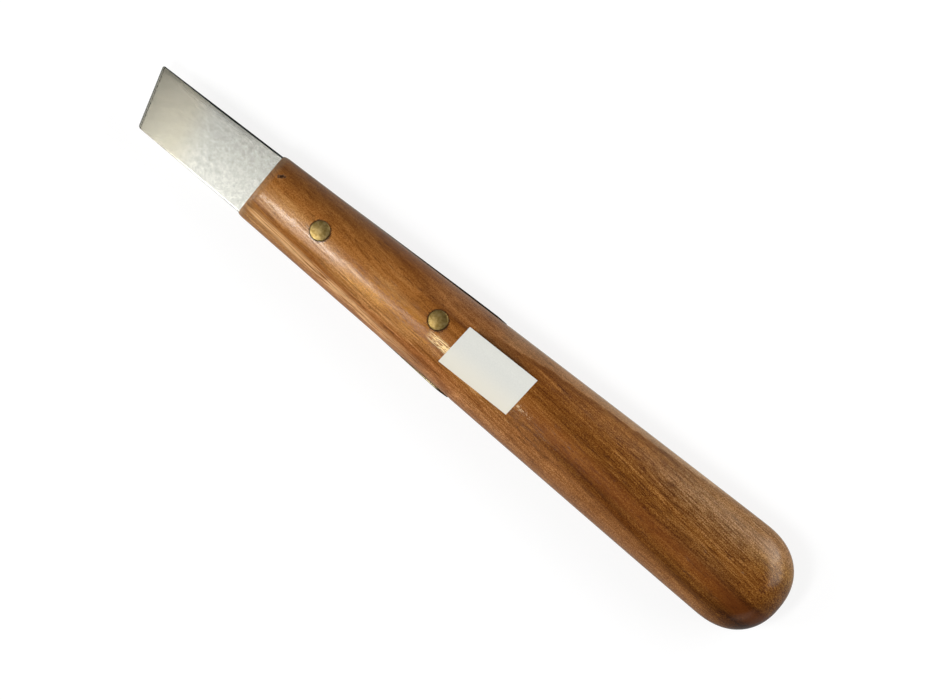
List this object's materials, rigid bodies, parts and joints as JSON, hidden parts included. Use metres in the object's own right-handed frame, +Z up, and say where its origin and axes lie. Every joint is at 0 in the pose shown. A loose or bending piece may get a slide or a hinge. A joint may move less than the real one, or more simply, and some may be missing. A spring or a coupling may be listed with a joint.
{
  "type": "stab carving knife",
  "caption": "Stab carving knife: a short skew-ended steel blade whose full-width tang is riveted into a slot in a tapered hardwood handle.",
  "frame": {"origin": "on the ground under the middle of the knife, which lies flat on one face of its handle", "axes": "+X from the blade's point towards the butt of the handle, +Y towards the blade's long edge, +Z up through the knife's thickness"},
  "size_m": [0.1839, 0.0252, 0.016],
  "materials": {
    "ground_steel": "satin ground",
    "lacquered_hardwood": "satin lacquer",
    "sanded_brass": "sanded"
  },
  "bodies": {
    "root": {"blade": "ground_steel", "handle": "lacquered_hardwood", "front_rivet_tube": "sanded_brass", "front_rivet_post": "sanded_brass", "rear_rivet_tube": "sanded_brass", "rear_rivet_post": "sanded_brass"}
  },
  "joints": []
}
